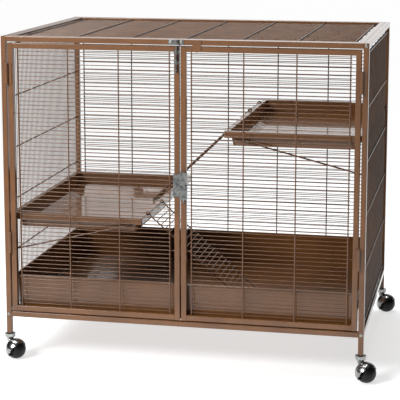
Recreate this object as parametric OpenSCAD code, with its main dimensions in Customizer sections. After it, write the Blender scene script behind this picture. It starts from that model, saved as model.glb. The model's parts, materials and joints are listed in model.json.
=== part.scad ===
// Ferret cage with two doors, two shelf pans, two ramps and a deep tray, on ball casters.
// Millimetres, +Z up. The origin is on the floor under the middle of the cage.
// The front, with the doors, faces -Y.

/* [Frame] */
// Width over the corner posts
cage_w = 914; // [840:1:1000]
// Depth over the corner posts
cage_d = 640; // [625:1:760]
// Height of the top rails above the floor
cage_h = 829; // [790:1:1000]
// Side of the square tubes
tube = 13.5; // [11:0.5:14]
// Wall of the square tubes
tube_wall = 1; // [0.8:0.1:2]
// Radius on the long edges of the tubes
tube_round = 1.5; // [0.8:0.1:2]
// Height of the post ends above the floor
leg_end = 66; // [64:1:80]
// Underside of the bottom rails above the floor
rail_low = 109.5; // [100:0.5:130]
// Length of the socket plugs inside the posts
socket_depth = 24; // [16:1:34]
// Distance of each bar under the tray from the middle of the cage
bar_offset = 203; // [150:1:260]

/* [Wire grilles] */
// Thickness of the fine wires
fine_wire = 2; // [1.6:0.1:2.4]
// Thickness of the thick wires
thick_wire = 3.2; // [2.8:0.1:3.6]
// Pitch of the fine wires
wire_pitch = 10.4; // [9.8:0.1:12.5]
// Distance of the outermost thick wires from the frame
thick_edge = 12.5; // [10:0.5:20]
// How deep two crossing wires are welded into each other
weld = 0.3; // [0.15:0.05:0.5]
// How far the fine wires pass the outermost thick wires
fine_overhang = 3; // [2:0.5:5]
// Number of fine wire pitches from one long tie wire to the next
tie_step = 16; // [10:1:20]

/* [Doors] */
// Gap between a door and the rails above and below it
door_gap = 3; // [2.5:0.5:6]
// Gap between a door and its post
hinge_gap = 3.5; // [2:0.5:4]
// Gap between the two doors
middle_gap = 3; // [3:0.5:6]
// Height of one hinge
hinge_h = 52; // [40:1:70]
// Middle of the upper hinges below the top of the door
hinge_drop = 78; // [50:1:150]
// Middle of the lower hinges above the bottom of the door
hinge_rise = 178; // [100:1:250]
// Radius of the hinge barrels
barrel_r = 4; // [3.5:0.1:5]
// Radius of the hinge pins
hinge_pin_r = 2; // [1.5:0.1:2.4]
// Thickness of the hinge leaves and of the bolt straps
leaf_t = 1.5; // [1:0.1:2]
// Width of one hinge leaf
leaf_w = 11; // [10:0.5:13]

/* [Latches] */
// Radius of the slide bolt at the top
bolt_r = 2.5; // [2:0.1:3]
// Length of the slide bolt
bolt_len = 65; // [55:1:90]
// Travel of the slide bolt
bolt_travel = 14; // [8:1:16]
// Height of the middle latch
latch_h = 68; // [56:1:90]
// Width of the middle latch housing
latch_w = 18; // [17:0.5:22]
// How far the middle latch stands out from the door
latch_depth = 11; // [10:0.5:16]
// Travel of the bolt in the middle latch
latch_travel = 9; // [6:0.5:9]

/* [Tray] */
// Rim of the tray above the floor
tray_rim_z = 215; // [180:1:240]
// Wall of the tray
tray_wall = 1.5; // [1.2:0.1:2.5]
// Gap between the tray rim and the side grilles
tray_side_gap = 7; // [4:0.5:15]
// Gap between the tray rim and the doors
tray_front_gap = 3; // [2:0.5:10]
// How far the tray walls lean in from rim to floor
tray_draft = 6; // [2:0.5:15]
// Width and height of the rolled bead round the tray rim
tray_bead = 4; // [3:0.5:6]

/* [Shelves] */
// Rim of the upper shelf above the floor
upper_shelf_z = 604; // [590:1:640]
// Rim of the lower shelf above the floor
lower_shelf_z = 376; // [350:1:385]
// Width of a shelf pan
pan_w = 345; // [320:1:360]
// Gap between the ends of a shelf pan and the posts in front of and behind it
pan_end_gap = 11.5; // [8:0.5:20]
// Depth of a shelf pan
pan_depth = 37; // [32:1:45]
// Thickness of the pan's sheet steel
pan_t = 1.2; // [1:0.1:1.5]
// Width of the flat rim round a pan
pan_rim = 12; // [11:0.5:14]
// Height of the lip that is turned down round the rim
pan_lip = 16; // [13:0.5:20]
// How far the pan walls lean in from rim to floor
pan_draft = 8; // [3:0.5:10]
// Thickness of the brace rods under the shelves
brace_d = 4; // [3:0.1:4.4]
// How far a brace's outer end lies below the shelf rim
brace_drop = 99; // [90:1:120]
// How far a brace's inner end lies from the shelf's free edge
brace_in = 27; // [22:1:60]

/* [Ramps] */
// Distance between the two rails of a ramp
ramp_w = 152; // [120:1:180]
// Length of a ramp from its pivot to its foot
ramp_len = 378; // [368:1:440]
// Thickness of the ramp's rail wires
rail_wire = 3.5; // [3:0.1:3.6]
// Thickness of the rungs
rung_wire = 2.5; // [2:0.1:3.2]
// Pitch of the rungs
rung_pitch = 14.2; // [12:0.1:20]
// Mean radius of the eyes at the top of the rails
eye_r = 4.1; // [4:0.05:4.4]
// Distance of each ramp's middle from the end of its shelf
ramp_inset = 141; // [125:1:165]

/* [Casters] */
// Radius of the ball wheel
wheel_r = 24.8; // [22:0.1:26]
// Distance of the wheel behind its swivel stem
trail = 20; // [16:0.5:21]
// Thickness of the hood's shell
hood_t = 2; // [1.6:0.1:2.4]
// Radius of the swivel stem
stem_r = 4; // [3.5:0.1:4.3]
// Radius of the axle across the hood
axle_r = 2.5; // [2:0.1:3]
// Radius of the flange on top of the hood's neck
flange_r = 13.5; // [11:0.5:16]

/* [Hidden] */

// Colours as photographed
paint = "#8a6449";
galvanised = "#a9b1b8";
zinc = "#b4bfca";
chrome = "#d9dde0";
rubber_black = "#17181a";

// Clearances
seat = 0.3;      // between painted pieces that lie against each other
running = 0.05;  // round a pin, stem or axle in its bore
slide_fit = 0.1; // round a bolt that slides
butt = 0.02;     // between tubes that are welded end to side
round_facets = 48;

left = -1;
right = 1;
front = -1;
back = 1;

// Places of the frame
post_x = (cage_w - tube) / 2;
post_y = (cage_d - tube) / 2;
inner_x = cage_w / 2 - tube;
inner_y = cage_d / 2 - tube;
top_z = cage_h - tube / 2;
low_z = rail_low + tube / 2;
clear_low = rail_low + tube;
clear_top = cage_h - tube;
middle_z = (clear_low + clear_top) / 2;
front_face = -cage_d / 2;

// Steps between a fine wire, the thick wire welded on it, and the frame
wire_step = (fine_wire + thick_wire) / 2 - weld;
side_wire_in = post_x - fine_wire / 2;
side_wire_out = post_x + fine_wire / 2;

// Roof frame
roof_x = inner_x - seat;
roof_y = inner_y - seat;

// Doors
door_low = clear_low + door_gap;
door_top = clear_top - door_gap;
door_w = inner_x - hinge_gap - middle_gap / 2;
door_h = door_top - door_low;
door_x = (middle_gap + door_w) / 2;
door_mid_z = (door_low + door_top) / 2;
outer_stile_x = door_x + (door_w - tube) / 2;
meeting_stile_x = door_x - (door_w - tube) / 2;
hinge_x = inner_x - hinge_gap / 2;
hinge_y = front_face - seat - barrel_r;
hinge_heights = [door_low + hinge_rise, door_top - hinge_drop];
knuckle_h = (hinge_h - 2 * seat) / 3;

// Shelves and ramps: the free edge of each pan carries the eyes of its ramp
pan_wall_x = side_wire_in - seat;
pan_edge_x = pan_wall_x - pan_w;
pan_d = 2 * (inner_y - pan_end_gap);
eye_x = pan_edge_x + pan_t / 2;
pan_floor = pan_depth - pan_t;
tray_low = clear_low + seat;
tray_floor_z = tray_low + tray_wall;
clip_r = 2.5;
clip_nut_r = 5;
clip_washer_r = 7;
clip_drop = 11;

// Heights of the thick wires of the side grilles
side_wires = [for (h = spread(6, clear_top - clear_low)) middle_z + h];

// What would meet a thick wire of the sides at its height lies just above that wire
function above_wires(z, thickness) =
    let (rest = (thick_wire + thickness) / 2 + seat)
    let (met = [for (h = side_wires) if (abs(z - h) < rest) h])
    len(met) > 0 ? met[0] + rest : z;

// Height of a shelf's rim: its clip bolts have to pass the thick wires
function rim_height(z) = above_wires(z - clip_drop, 2 * clip_washer_r) + clip_drop;

upper_rim_z = rim_height(upper_shelf_z);
lower_rim_z = rim_height(lower_shelf_z);
upper_eye_z = upper_rim_z - pan_t / 2;
lower_eye_z = lower_rim_z - pan_t / 2;
upper_landing_z = lower_rim_z - pan_floor;
ramp_y = pan_d / 2 - ramp_inset;
eye_wire = rail_wire + 0.1;
eye_slot = eye_wire / 2 + 0.45;

// Casters: [x side, y side, heading of the wheel in degrees]
CORNERS = [
    [left, front, -25],
    [right, front, -41],
    [left, back, 139],
    [right, back, -41]
];
hood_r = wheel_r + 0.5 + hood_t;
hood_in_r = hood_r - hood_t;
wheel_z = wheel_r;
wheel_half = 0.79 * wheel_r;
socket_flange = 2;
flange_top = leg_end - socket_flange - seat;
flange_t = 8;
neck_r = stem_r + 4.5;
stem_low = wheel_z + sqrt(hood_in_r * hood_in_r - pow(trail - stem_r, 2)) + 2;

// ---------------------------------------------------------------- tubes

module rounded_rect(w, d, r)
{
    square([w, d - 2 * r], center = true);
    square([w - 2 * r, d], center = true);
    for (sx = [-1, 1])
        for (sy = [-1, 1])
            translate([sx * (w / 2 - r), sy * (d / 2 - r)])
                circle(r = r, $fn = round_facets);
}

module tube_section()
{
    difference() {
        rounded_rect(tube, tube, tube_round);
        square(tube - 2 * tube_wall, center = true);
    }
}

module tube_x(from, to)
{
    translate([from, 0, 0]) rotate([90, 0, 90]) linear_extrude(to - from) tube_section();
}

module tube_y(from, to)
{
    translate([0, to, 0]) rotate([90, 0, 0]) linear_extrude(to - from) tube_section();
}

module tube_z(from, to)
{
    translate([0, 0, from]) linear_extrude(to - from) tube_section();
}

// A corner post: open below for the caster's socket, closed by a cap on top
module post(sx, sy)
{
    color(paint)
        translate([sx * post_x, sy * post_y, 0]) {
            tube_z(leg_end, cage_h);
            translate([0, 0, cage_h - tube_wall])
                linear_extrude(tube_wall) rounded_rect(tube, tube, tube_round);
        }
}

module long_rail(sy, z)
{
    color(paint) translate([0, sy * post_y, z]) tube_x(-inner_x, inner_x);
}

module side_rails(z)
{
    color(paint)
        for (sx = [left, right])
            translate([sx * post_x, 0, z]) tube_y(-inner_y, inner_y);
}

// Four tubes laid as a ring inside the top rails
module roof_frame_tubes()
{
    color(paint)
        translate([0, 0, top_z]) {
            for (sy = [front, back])
                translate([0, sy * (roof_y - tube / 2), 0]) tube_x(-roof_x, roof_x);
            for (sx = [left, right])
                translate([sx * (roof_x - tube / 2), 0, 0])
                    tube_y(tube - roof_y + butt, roof_y - tube - butt);
        }
}

module tray_support_bars()
{
    color(paint)
        for (sx = [left, right])
            translate([sx * bar_offset, 0, low_z]) tube_y(-inner_y, inner_y);
}

// ---------------------------------------------------------------- welded wire grilles

// A wire as a prism whose flats are its thickness apart
module wire(length, thickness, sides)
{
    rotate(180 / sides) cylinder(h = length, d = thickness / cos(180 / sides), $fn = sides);
}

// Offsets of as many wires as fit into a clear width, one of them in its middle
function centred_rows(clear, edge) =
    let (n = floor((clear / 2 - edge) / wire_pitch))
    [for (i = [-n : n]) i * wire_pitch];

// Offsets of a number of thick wires spread over a clear width
function spread(count, clear) =
    let (half = clear / 2 - thick_edge)
    [for (i = [0 : count - 1]) -half + 2 * half * i / (count - 1)];

// The panel as seen from outside, round its own middle: fine wires lie along X, one above
// the other, and thick wires stand in front of them. Every so many fine wires, one is a
// long tie wire that reaches the frame. The thick wires all reach it.
module wire_panel(clear_w, rows, columns, reach_low, reach_top, first_tie)
{
    short_half = max(columns) + fine_overhang;
    for (i = [0 : len(rows) - 1]) {
        half = (i - first_tie) % tie_step == 0 ? clear_w / 2 : short_half;
        translate([-half, 0, rows[i]]) rotate([0, 90, 0]) wire(2 * half, fine_wire, 6);
    }
    for (x = columns)
        translate([x, -wire_step, reach_low]) wire(reach_top - reach_low, thick_wire, 8);
}

function middle_row(rows) = (len(rows) - 1) / 2;

module side_grille(sx)
{
    rows = centred_rows(2 * inner_y, fine_overhang + fine_wire);
    color(paint)
        mirror([sx == left ? 1 : 0, 0, 0])
            translate([post_x, 0, middle_z])
                rotate([0, 0, 90]) rotate([0, 90, 0])
                    wire_panel(clear_top - clear_low, rows, spread(6, clear_top - clear_low),
                        -inner_y, inner_y, middle_row(rows));
}

module grille_back()
{
    rows = centred_rows(clear_top - clear_low, fine_overhang + fine_wire);
    color(paint)
        translate([0, post_y, middle_z])
            rotate([0, 0, 180])
                wire_panel(2 * inner_x, rows, spread(7, 2 * inner_x),
                    clear_low - middle_z, clear_top - middle_z, middle_row(rows));
}

module grille_roof()
{
    clear_w = 2 * (roof_x - tube);
    half_d = roof_y - tube;
    rows = centred_rows(2 * half_d, fine_overhang);
    color(paint)
        translate([0, 0, top_z])
            rotate([-90, 0, 0])
                wire_panel(clear_w, rows, spread(7, clear_w), -half_d, half_d,
                    middle_row(rows));
}

module door_grille(side)
{
    clear_w = door_w - 2 * tube;
    clear_h = door_h - 2 * tube;
    rows = centred_rows(clear_h, fine_overhang + fine_wire);
    color(paint)
        translate([side * door_x, -post_y, door_mid_z])
            wire_panel(clear_w, rows, spread(4, clear_w), -clear_h / 2, clear_h / 2,
                middle_row(rows));
}

// ---------------------------------------------------------------- tray and shelf pans

// A drafted block with round corners: the outside or the inside of a pan
module drafted(w, d, low, top, lean, r)
{
    sliver = 0.01;
    hull() {
        translate([0, 0, top - sliver])
            linear_extrude(sliver) rounded_rect(w, d, r, $fn = 32);
        translate([0, 0, low])
            linear_extrude(sliver) rounded_rect(w - 2 * lean, d - 2 * lean, r, $fn = 32);
    }
}

module tray()
{
    rim_w = 2 * (side_wire_in - tray_side_gap);
    rim_d = 2 * (inner_y - tray_front_gap);
    body_w = rim_w - 2 * (tray_bead - tray_wall);
    body_d = rim_d - 2 * (tray_bead - tray_wall);
    corner = 16;
    color(paint)
        difference() {
            union() {
                drafted(body_w, body_d, tray_low, tray_rim_z, tray_draft, corner);
                translate([0, 0, tray_rim_z - tray_bead])
                    linear_extrude(tray_bead)
                        rounded_rect(rim_w, rim_d, corner + tray_bead - tray_wall);
            }
            drafted(body_w - 2 * tray_wall, body_d - 2 * tray_wall,
                tray_floor_z, tray_rim_z + 1, tray_draft, corner - tray_wall);
        }
}

// The middles of the gaps between two fine wires of the side grilles just within a distance
// from the cage's middle, and just beyond it
function slot_within(y) = (floor(y / wire_pitch - 0.5) + 0.5) * wire_pitch;
function slot_beyond(y) = (ceil(y / wire_pitch - 0.5) + 0.5) * wire_pitch;

// Clip bolts pass through the lip clear of its round corners, and brace ends go into the
// wall below it
lip_corner = 5;
clip_y = slot_within(pan_d / 2 - lip_corner - clip_nut_r + 1.4);
brace_r = brace_d / 2;
brace_top_drop = pan_lip + brace_r + 1;
brace_wall_y = pan_d / 2 - pan_rim + pan_t - pan_draft * brace_top_drop / pan_depth;
brace_y = slot_beyond(brace_wall_y + brace_r + 2 * seat);

// One shelf pan with its free edge towards -X, its rim's top at z 0 and its wall side at +X
module shelf_pan()
{
    mid_x = pan_wall_x - pan_w / 2;
    body_w = pan_w - 2 * pan_rim + 2 * pan_t;
    body_d = pan_d - 2 * pan_rim + 2 * pan_t;
    corner = 12;
    slot_far = eye_r + eye_slot;
    slot_near = eye_r - eye_slot;
    color(paint)
        difference() {
            union() {
                translate([mid_x, 0, -pan_depth])
                    drafted(body_w, body_d, 0, pan_depth, pan_draft, corner);
                translate([mid_x, 0, -pan_t])
                    linear_extrude(pan_t) rounded_rect(pan_w, pan_d, lip_corner);
                translate([mid_x, 0, -pan_lip])
                    linear_extrude(pan_lip)
                        difference() {
                            rounded_rect(pan_w, pan_d, lip_corner);
                            rounded_rect(pan_w - 2 * pan_t, pan_d - 2 * pan_t,
                                lip_corner - pan_t);
                        }
            }
            translate([mid_x, 0, -pan_depth])
                drafted(body_w - 2 * pan_t, body_d - 2 * pan_t, pan_t, pan_depth + 1,
                    pan_draft, corner - pan_t);
            for (s = [-1, 1]) {
                // slots in the rim and in the lip for the two eyes of the ramp
                translate([eye_x + slot_near, ramp_y + s * ramp_w / 2 - eye_slot, -2 * pan_t])
                    cube([2 * eye_slot, 2 * eye_slot, 3 * pan_t]);
                translate([pan_edge_x - pan_t, ramp_y + s * ramp_w / 2 - eye_slot,
                    -pan_t / 2 - slot_far])
                    cube([3 * pan_t, 2 * eye_slot, 2 * eye_slot]);
                // holes for the brace ends and for the clip bolts
                translate([pan_edge_x + brace_in, s * pan_d / 2, -brace_top_drop])
                    rotate([90, 0, 0])
                        cylinder(r = brace_r + 0.3, h = 4 * pan_rim, center = true,
                            $fn = round_facets);
                translate([pan_wall_x, s * clip_y, -clip_drop])
                    rotate([0, 90, 0])
                        cylinder(r = clip_r + 0.3, h = 6, center = true, $fn = round_facets);
            }
        }
}

module upper_shelf_pan()
{
    translate([0, 0, upper_rim_z]) shelf_pan();
}

module lower_shelf_pan()
{
    translate([0, 0, lower_rim_z]) rotate([0, 0, 180]) shelf_pan();
}

// A rod from its start towards +Z, with a bend at its start, which swells a little
module rod(length, r)
{
    cylinder(h = length, r = r, $fn = round_facets);
    sphere(r = 1.04 * r, $fn = round_facets);
}

// Two rods under one shelf: each is bent into the pan's wall at its inner end, and passes
// through the side grille and turns up behind its fine wires at its outer end
module shelf_braces(shelf_z)
{
    start = [pan_edge_x + brace_in, shelf_z - brace_top_drop];
    end = [side_wire_out + brace_r + seat, above_wires(shelf_z - brace_drop, brace_d)];
    run = end - start;
    bent_in = brace_y - brace_wall_y + 5;
    hook = 14;
    color(paint)
        for (s = [-1, 1])
            translate([start[0], s * brace_y, start[1]]) {
                rotate([s * 90, 0, 0]) rod(bent_in, brace_r);
                rotate([0, 90 - atan2(run[1], run[0]), 0]) rod(norm(run), brace_r);
                translate([run[0], 0, run[1]]) rod(hook, brace_r);
            }
}

module upper_shelf_braces()
{
    shelf_braces(upper_rim_z);
}

module lower_shelf_braces()
{
    rotate([0, 0, 180]) shelf_braces(lower_rim_z);
}

// Head and washer outside the grille, nut behind the pan's lip
module clip_bolt()
{
    washer_from = side_wire_out + seat;
    washer_to = washer_from + 1.5;
    nut_to = pan_wall_x - pan_t - seat;
    rotate([0, 90, 0])
        rotate_extrude($fn = round_facets)
            polygon([
                [0, nut_to - 4], [clip_nut_r, nut_to - 4], [clip_nut_r, nut_to],
                [clip_r, nut_to], [clip_r, washer_from], [clip_washer_r, washer_from],
                [clip_washer_r, washer_to], [4.5, washer_to],
                [4, washer_to + 3], [2.5, washer_to + 4], [0, washer_to + 4]
            ]);
}

module shelf_clip_bolts()
{
    color(paint)
        for (s = [-1, 1]) {
            translate([0, s * clip_y, upper_rim_z - clip_drop]) clip_bolt();
            translate([0, s * clip_y, lower_rim_z - clip_drop]) mirror([1, 0, 0]) clip_bolt();
        }
}

// ---------------------------------------------------------------- ramps

// Slope at which a rail of the ramp's length comes down by a drop and ends just above it
function slope(drop) =
    asin((drop - seat) / norm([ramp_len, rail_wire / 2])) - atan2(rail_wire / 2, ramp_len);

// A ramp that lies along +X from its pivot, which is the middle of its two eyes
module ramp()
{
    first = 16;
    last = ramp_len - 5;
    lift = (rail_wire + rung_wire) / 2 - weld;
    overhang = rail_wire / 2 + 1;
    color(paint) {
        for (s = [-1, 1])
            translate([0, s * ramp_w / 2, 0]) {
                rotate([90, 0, 0])
                    rotate_extrude($fn = round_facets)
                        translate([eye_r, 0]) circle(d = eye_wire, $fn = round_facets);
                translate([eye_r, 0, 0])
                    rotate([0, 90, 0])
                        cylinder(h = ramp_len - eye_r, d = rail_wire, $fn = round_facets);
            }
        // the wire across the foot
        translate([ramp_len - rail_wire / 2, 0, 0])
            rotate([90, 0, 0])
                cylinder(h = ramp_w, d = rail_wire - 0.1, center = true,
                    $fn = round_facets);
        for (x = [first : rung_pitch : last])
            translate([x, 0, lift])
                rotate([90, 0, 0])
                    cylinder(h = ramp_w + 2 * overhang, d = rung_wire, center = true,
                        $fn = round_facets);
    }
}

module upper_ramp()
{
    translate([eye_x, ramp_y, upper_eye_z])
        rotate([0, 0, 180])
            rotate([0, slope(upper_eye_z - upper_landing_z), 0]) ramp();
}

module lower_ramp()
{
    translate([-eye_x, -ramp_y, lower_eye_z])
        rotate([0, slope(lower_eye_z - tray_floor_z), 0]) ramp();
}

// ---------------------------------------------------------------- doors and hinges

module door_stile(x)
{
    color(paint) translate([x, -post_y, 0]) tube_z(door_low, door_top);
}

module door_rail(side, z)
{
    half = door_w / 2 - tube;
    color(paint) translate([side * door_x, -post_y, z]) tube_x(-half, half);
}

module at_hinges(side)
{
    for (z = hinge_heights)
        translate([side * hinge_x, hinge_y, z])
            mirror([side == right ? 1 : 0, 0, 0]) children();
}

// One leaf with its knuckles round the hinge axis; the door lies towards +X.
// The post leaf has the two end knuckles, the door leaf has the middle one.
module hinge_leaf(on_door)
{
    leaf_edge = 0.35;
    notch_x = 0.95 * barrel_r;
    middle_h = on_door ? knuckle_h : knuckle_h + 2 * seat;
    color(paint)
        mirror([on_door ? 0 : 1, 0, 0])
            difference() {
                union() {
                    // the plate, whose corner beside the other leaf's knuckles is cut out
                    difference() {
                        translate([leaf_edge, barrel_r + seat - leaf_t, -hinge_h / 2])
                            cube([leaf_w, leaf_t, hinge_h]);
                        if (on_door)
                            for (z = [-hinge_h - middle_h / 2, middle_h / 2])
                                translate([0, 0, z]) cube([notch_x, hinge_h, hinge_h]);
                        else
                            translate([0, 0, -middle_h / 2]) cube([notch_x, hinge_h, middle_h]);
                    }
                    difference() {
                        height = on_door ? knuckle_h : hinge_h;
                        cylinder(h = height, r = barrel_r, center = true, $fn = round_facets);
                        if (!on_door)
                            cylinder(h = middle_h, r = 2 * barrel_r, center = true);
                    }
                }
                cylinder(h = 2 * hinge_h, r = hinge_pin_r + running, center = true,
                    $fn = round_facets);
            }
}

module hinge_post_leaves()
{
    at_hinges(left) hinge_leaf(false);
    at_hinges(right) hinge_leaf(false);
}

module hinge_pins()
{
    color(galvanised)
        for (side = [left, right])
            at_hinges(side)
                rotate_extrude($fn = round_facets)
                    polygon([
                        [0, -hinge_h / 2 - 1], [hinge_pin_r, -hinge_h / 2 - 1],
                        [hinge_pin_r, hinge_h / 2], [hinge_pin_r + 1, hinge_h / 2],
                        [hinge_pin_r + 1, hinge_h / 2 + 1], [hinge_pin_r, hinge_h / 2 + 1.8],
                        [0, hinge_h / 2 + 1.8]
                    ]);
}

// ---------------------------------------------------------------- slide bolt and stop tab

bolt_x = -meeting_stile_x;
bolt_y = front_face - bolt_r - 2.5;
bolt_top = clear_top - 2;
bolt_low = bolt_top - bolt_len;
guide_h = 8;
guide_low = [bolt_low + 2 * bolt_r + bolt_travel + 2, door_top - 10 - guide_h];
saddle_low = clear_top + 1;

// Upright rod at rest below the rail, with a handle bent forward at its lower end
module top_bolt()
{
    handle = 13;
    color(zinc)
        translate([bolt_x, bolt_y, bolt_low + bolt_r]) {
            rod(bolt_len - bolt_r, bolt_r);
            rotate([90, 0, 0]) rod(handle, bolt_r);
        }
}

// Outline of a strap over the bolt, its feet against the face behind it
module strap_outline(feet_from, feet_to, half)
{
    reach = front_face - bolt_y;
    translate([feet_from, -leaf_t]) square([feet_to - feet_from, leaf_t]);
    translate([-half, -reach]) square([2 * half, reach]);
    translate([0, -reach]) circle(r = half, $fn = round_facets);
}

module top_bolt_guides()
{
    bore = bolt_r + slide_fit;
    color(zinc)
        for (z = guide_low)
            translate([bolt_x, front_face, z])
                linear_extrude(guide_h)
                    difference() {
                        strap_outline(-tube / 2, tube / 2, bore + leaf_t);
                        translate([0, bolt_y - front_face])
                            circle(r = bore, $fn = round_facets);
                        translate([-tube, 0]) square(2 * tube);
                    }
}

saddle_feet = [-21, 18];

// A strap with a square tunnel in which the bolt has room on every side
module bolt_saddle()
{
    room = bolt_r + 1.4;
    back = front_face - bolt_y;
    half = room + 2.5;
    color(zinc)
        translate([bolt_x, front_face, saddle_low])
            linear_extrude(cage_h - saddle_low)
                difference() {
                    strap_outline(saddle_feet[0], saddle_feet[1], half);
                    translate([-room, -back - room]) square([2 * room, 2 * back + room]);
                    translate([-half, 0]) square(2 * half);
                }
}

// A tab on the right door that laps over the front top rail and stops the door there
module stop_tab()
{
    tab_x = 42;
    tab_w = 22;
    tab_t = 2;
    tab_low = door_top - 14;
    tab_top = cage_h - 2;
    color(paint)
        translate([tab_x, front_face, 0])
            difference() {
                rotate([90, 0, 0])
                    linear_extrude(tab_t)
                        union() {
                            translate([0, (tab_low + tab_top + tab_w / 2) / 2])
                                square([tab_w, tab_top - tab_low - tab_w / 2], center = true);
                            translate([0, tab_low + tab_w / 2])
                                circle(d = tab_w, $fn = round_facets);
                        }
                translate([-tab_w, -seat, door_top - 0.5]) cube([2 * tab_w, 1, tab_w * 2]);
                translate([0, -tab_t - 1, tab_top - 9]) sphere(r = 2.4, $fn = round_facets);
            }
}

// ---------------------------------------------------------------- middle latch

latch_seam = 0.4;
bar_y = front_face - 5;
bar_h = 8;
bar_t = 3;
bar_play = 0.2;
bar_rest = 0.6;
bar_len = latch_w - 2.8;
knob_stem_r = 2;
knob_x = latch_seam + bar_rest + bar_len - 2.2;

// A block with round corners on the front of a stile, from x to x, standing out by a depth
module latch_block(from, to, h, depth, r)
{
    translate([(from + to) / 2, front_face, door_mid_z])
        rotate([90, 0, 0]) linear_extrude(depth) rounded_rect(to - from, h, r);
}

module bar_space(from, to, play)
{
    translate([from, bar_y - bar_t / 2 - play, door_mid_z - bar_h / 2 - play])
        cube([to - from, bar_t + 2 * play, bar_h + 2 * play]);
}

module latch_housing()
{
    slot_half = knob_stem_r + seat;
    spigot_r = 2.2;
    color(zinc)
        difference() {
            union() {
                latch_block(latch_seam, latch_seam + latch_w, latch_h, latch_depth, 3);
                // ends of the lock spindle above and below the housing
                translate([latch_seam + latch_w / 2, front_face - latch_depth / 2, door_mid_z]) {
                    translate([0, 0, -latch_h / 2 - 8])
                        cylinder(h = 9, r = spigot_r, $fn = round_facets);
                    translate([0, 0, latch_h / 2 - 1])
                        cylinder(h = 4, r = spigot_r + 1, $fn = round_facets);
                }
            }
            bar_space(-1, latch_seam + bar_rest + bar_len + 0.5, bar_play);
            translate([knob_x - latch_travel - slot_half, front_face - latch_depth - 1,
                door_mid_z - slot_half])
                cube([latch_travel + 2 * slot_half, latch_depth - 4, 2 * slot_half]);
            // two screw recesses
            for (place = [[4, 9 - latch_h / 2], [latch_w - 5, latch_h / 2 - 16]])
                translate([latch_seam + place[0], front_face - latch_depth,
                    door_mid_z + place[1]])
                    rotate([90, 0, 0])
                        cylinder(r = 1.8, h = 2, center = true, $fn = round_facets);
        }
}

// Bar at rest inside the housing; its knob comes out through the slot in front
module latch_bolt()
{
    color(zinc) {
        translate([latch_seam + bar_rest, bar_y - bar_t / 2, door_mid_z - bar_h / 2])
            cube([bar_len, bar_t, bar_h]);
        translate([knob_x, bar_y, door_mid_z])
            rotate([90, 0, 0])
                rotate_extrude($fn = round_facets)
                    polygon([
                        [0, 0], [knob_stem_r, 0], [knob_stem_r, latch_depth - 4],
                        [4.2, latch_depth - 4], [4.2, latch_depth], [3.2, latch_depth + 1],
                        [0, latch_depth + 1]
                    ]);
    }
}

// Plate on the left door with a raised staple through which the bar passes freely
module latch_keeper()
{
    keeper_w = 17;
    color(zinc)
        difference() {
            union() {
                latch_block(-latch_seam - keeper_w, -latch_seam, latch_h - 11, 3, 3);
                latch_block(-latch_seam - keeper_w + 3, -latch_seam, 26, 9, 1);
            }
            bar_space(-latch_seam - keeper_w - 1, 1, 1.2);
        }
}

// ---------------------------------------------------------------- screws

module screw_head()
{
    rotate([90, 0, 0])
        rotate_extrude($fn = round_facets)
            polygon([[0, 0], [4.2, 0], [4.2, 0.8], [3.2, 1.8], [0, 2.1]]);
}

module frame_screws()
{
    saddle_z = (saddle_low + cage_h) / 2;
    color(zinc) {
        for (place = [[-post_x, low_z], [post_x, low_z], [post_x, top_z]])
            translate([place[0], front_face, place[1]]) screw_head();
        for (sx = [left, right])
            for (z = [low_z, top_z])
                translate([sx * post_x, -front_face, z]) rotate([0, 0, 180]) screw_head();
        for (x = [saddle_feet[0] + 6.5, saddle_feet[1] - 6.5])
            translate([bolt_x + x, front_face - leaf_t, saddle_z]) screw_head();
    }
}

// ---------------------------------------------------------------- casters

// The swivel stem's foot is the origin, and the wheel trails along +X
module at_corner(c)
{
    translate([c[0] * post_x, c[1] * post_y, 0]) rotate([0, 0, c[2]]) children();
}

module at_wheel(c)
{
    at_corner(c) translate([trail, 0, wheel_z]) children();
}

// Across the hood, from a start to an end on either side
module cross_bar(from, to, r)
{
    for (s = [-1, 1])
        rotate([-90 * s, 0, 0])
            translate([0, 0, from]) cylinder(h = to - from, r = r, $fn = round_facets);
}

module caster_hood(c)
{
    open_tilt = 39.7;
    open_edge = 3;
    boss_r = axle_r + 3;
    block = 4 * hood_r;
    neck_from = 10;
    flange_low = flange_top - wheel_z - flange_t;
    color(chrome)
        at_wheel(c)
            difference() {
                union() {
                    difference() {
                        union() {
                            // the shell, open towards the back and the floor
                            intersection() {
                                sphere(r = hood_r, $fn = 2 * round_facets);
                                rotate([0, open_tilt, 0])
                                    translate([open_edge - block, -block / 2, -block / 2])
                                        cube(block);
                            }
                            translate([-trail, 0, 0])
                                rotate_extrude($fn = round_facets)
                                    polygon([
                                        [0, neck_from], [2, neck_from],
                                        [neck_r, neck_from + 11], [neck_r, flange_low - 6],
                                        [flange_r, flange_low],
                                        [flange_r, flange_low + flange_t],
                                        [0, flange_low + flange_t]
                                    ]);
                        }
                        sphere(r = hood_in_r, $fn = 2 * round_facets);
                    }
                    intersection() {
                        sphere(r = hood_r, $fn = 2 * round_facets);
                        cross_bar(wheel_half + seat, hood_r, boss_r);
                    }
                }
                cross_bar(0, hood_r + 1, axle_r + running);
                translate([-trail, 0, stem_low - seat - wheel_z])
                    cylinder(h = leg_end, r = stem_r + running, $fn = round_facets);
            }
}

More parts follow.
